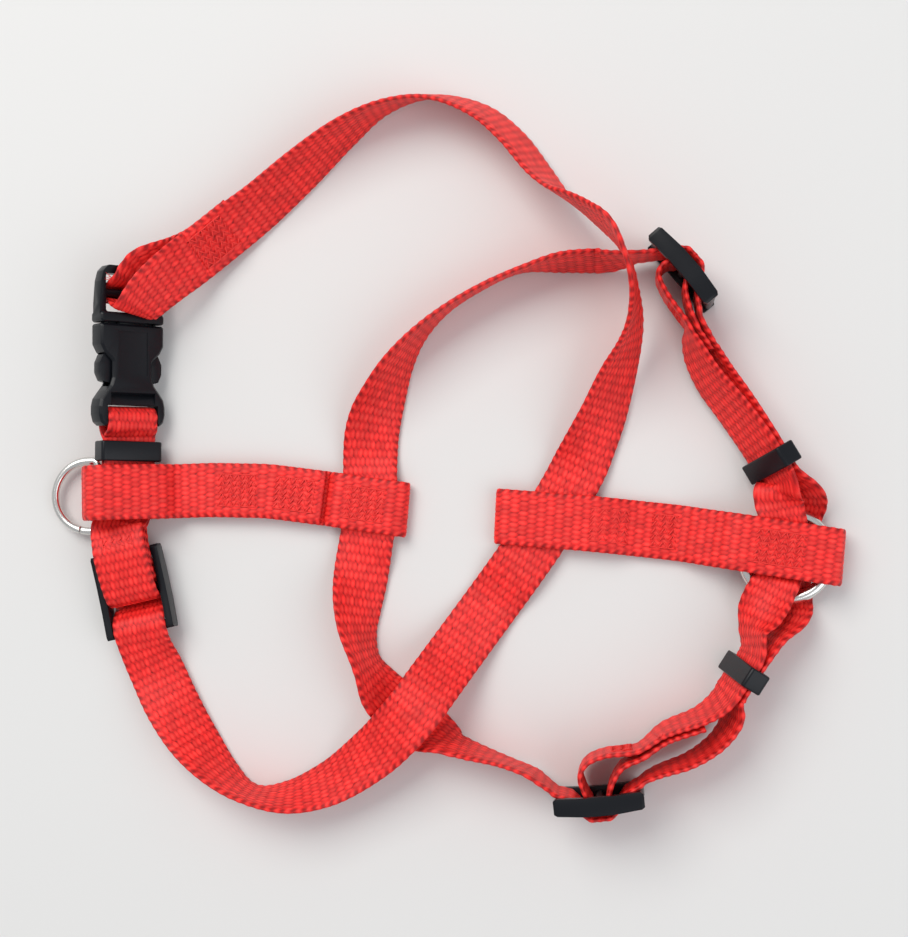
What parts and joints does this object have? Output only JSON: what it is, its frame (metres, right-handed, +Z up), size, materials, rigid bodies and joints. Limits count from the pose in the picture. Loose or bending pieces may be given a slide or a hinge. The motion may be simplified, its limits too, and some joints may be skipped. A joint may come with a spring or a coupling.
{
  "type": "no pull dog harness",
  "caption": "Flat webbing dog harness laid out flat: neck and girth loops joined by a back strap and a chest strap, with a side release buckle, adjuster slides, keepers, a D-ring and an O-ring.",
  "frame": {"origin": "on the table under the middle of the laid out harness", "axes": "+X from the back D-ring to the front O-ring along the harness's longer side, +Y across it towards the buckle's plug, +Z up off the table"},
  "size_m": [0.2378, 0.2142, 0.0346],
  "materials": {
    "webbing": "woven nylon, slight sheen",
    "thread": "sewing thread, matte",
    "plastic": "satin moulded",
    "ring_metal": "nickel plated wire"
  },
  "bodies": {
    "webbing": {"buckle_socket": "plastic", "girth_upper_run": "webbing", "girth_crossing_run": "webbing", "girth_lower_run": "webbing", "girth_slide_entry": "webbing", "girth_buckle_loop": "webbing", "neck_upper_run": "webbing", "neck_upper_entry": "webbing", "neck_upper_through_leg": "webbing", "neck_upper_return_leg": "webbing", "neck_upper_sewn_end": "webbing", "neck_lower_run": "webbing", "neck_lower_entry": "webbing", "neck_lower_through_leg": "webbing", "neck_lower_return_leg": "webbing", "neck_lower_sewn_end": "webbing", "back_strap_left_loop": "webbing", "back_strap_middle": "webbing", "back_strap_right_loop": "webbing", "chest_strap_left_loop": "webbing", "chest_strap_middle": "webbing", "chest_strap_right_loop": "webbing", "back_strap_stitching": "thread", "chest_strap_stitching": "thread"},
    "girth_plug_half": {"buckle_plug": "plastic", "girth_plug_loop": "webbing"},
    "plug_arm_left": {"plug_arm_left": "plastic"},
    "plug_arm_right": {"plug_arm_right": "plastic"},
    "back_d_ring": {"back_d_ring": "ring_metal"},
    "front_o_ring": {"front_o_ring": "ring_metal"},
    "girth_adjuster": {"girth_slide": "plastic", "girth_slide_wrap": "webbing", "girth_slide_weave": "webbing", "girth_slide_stitching": "thread"},
    "neck_upper_adjuster": {"neck_upper_slide": "plastic", "neck_upper_wrap": "webbing", "neck_upper_weave": "webbing", "neck_upper_stitching": "thread"},
    "neck_lower_adjuster": {"neck_lower_slide": "plastic", "neck_lower_wrap": "webbing", "neck_lower_weave": "webbing", "neck_lower_stitching": "thread"},
    "girth_keeper": {"girth_keeper": "plastic"},
    "neck_upper_keeper": {"neck_upper_keeper": "plastic"},
    "neck_lower_keeper": {"neck_lower_keeper": "plastic"}
  },
  "joints": [
    {"name": "buckle_release", "type": "slide", "parent": "webbing", "child": "girth_plug_half", "axis": [0, 0.9994, 0.035], "range_m": [0, 0.025], "deforming": ["girth_upper_run", "plug_arm_left", "plug_arm_right"]},
    {"name": "plug_arm_left_squeeze", "type": "hinge", "parent": "girth_plug_half", "child": "plug_arm_left", "pos_m": [-0.09671, 0.03639, 0.01565], "axis": [0.7431, -0.0234, 0.6687], "range_deg": [0, 7], "stiffness_Nm_per_rad": 0.02},
    {"name": "plug_arm_right_squeeze", "type": "hinge", "parent": "girth_plug_half", "child": "plug_arm_right", "pos_m": [-0.08868, 0.03671, 0.00674], "axis": [-0.7431, 0.0234, -0.6687], "range_deg": [0, 7], "stiffness_Nm_per_rad": 0.02},
    {"name": "d_ring_hinge", "type": "hinge", "parent": "webbing", "child": "back_d_ring", "pos_m": [-0.1043, -0.01435, 0.0033], "axis": [0, 1, 0], "range_deg": [0, 56]},
    {"name": "o_ring_turn", "type": "hinge", "parent": "webbing", "child": "front_o_ring", "pos_m": [0.1015, -0.03115, 0.0055], "axis": [0, 0, 1], "continuous": true},
    {"name": "girth_adjust", "type": "slide", "parent": "webbing", "child": "girth_adjuster", "axis": [-0.2251, 0.9743, 0], "range_m": [-0.006, 0.0015], "deforming": ["girth_slide_weave", "girth_slide_entry", "girth_buckle_loop"]},
    {"name": "neck_upper_adjust", "type": "slide", "parent": "webbing", "child": "neck_upper_adjuster", "axis": [0.6478, -0.7618, 0], "range_m": [-0.005, 0.004], "deforming": ["neck_upper_weave", "neck_upper_entry", "neck_upper_through_leg", "neck_upper_return_leg", "neck_upper_sewn_end"]},
    {"name": "neck_lower_adjust", "type": "slide", "parent": "webbing", "child": "neck_lower_adjuster", "axis": [0.9936, 0.1131, 0], "range_m": [-0.005, 0.004], "deforming": ["neck_lower_weave", "neck_lower_entry", "neck_lower_through_leg", "neck_lower_return_leg", "neck_lower_sewn_end"]},
    {"name": "girth_keeper_slide", "type": "slide", "parent": "webbing", "child": "girth_keeper", "axis": [0, 1, 0], "range_m": [-0.0005, 0.0012]},
    {"name": "neck_upper_keeper_slide", "type": "slide", "parent": "webbing", "child": "neck_upper_keeper", "axis": [0.5075, -0.8616, 0], "range_m": [-0.005, 0.0002]},
    {"name": "neck_lower_keeper_slide", "type": "slide", "parent": "webbing", "child": "neck_lower_keeper", "axis": [0.5299, 0.848, 0], "range_m": [-0.001, 0.003]}
  ]
}
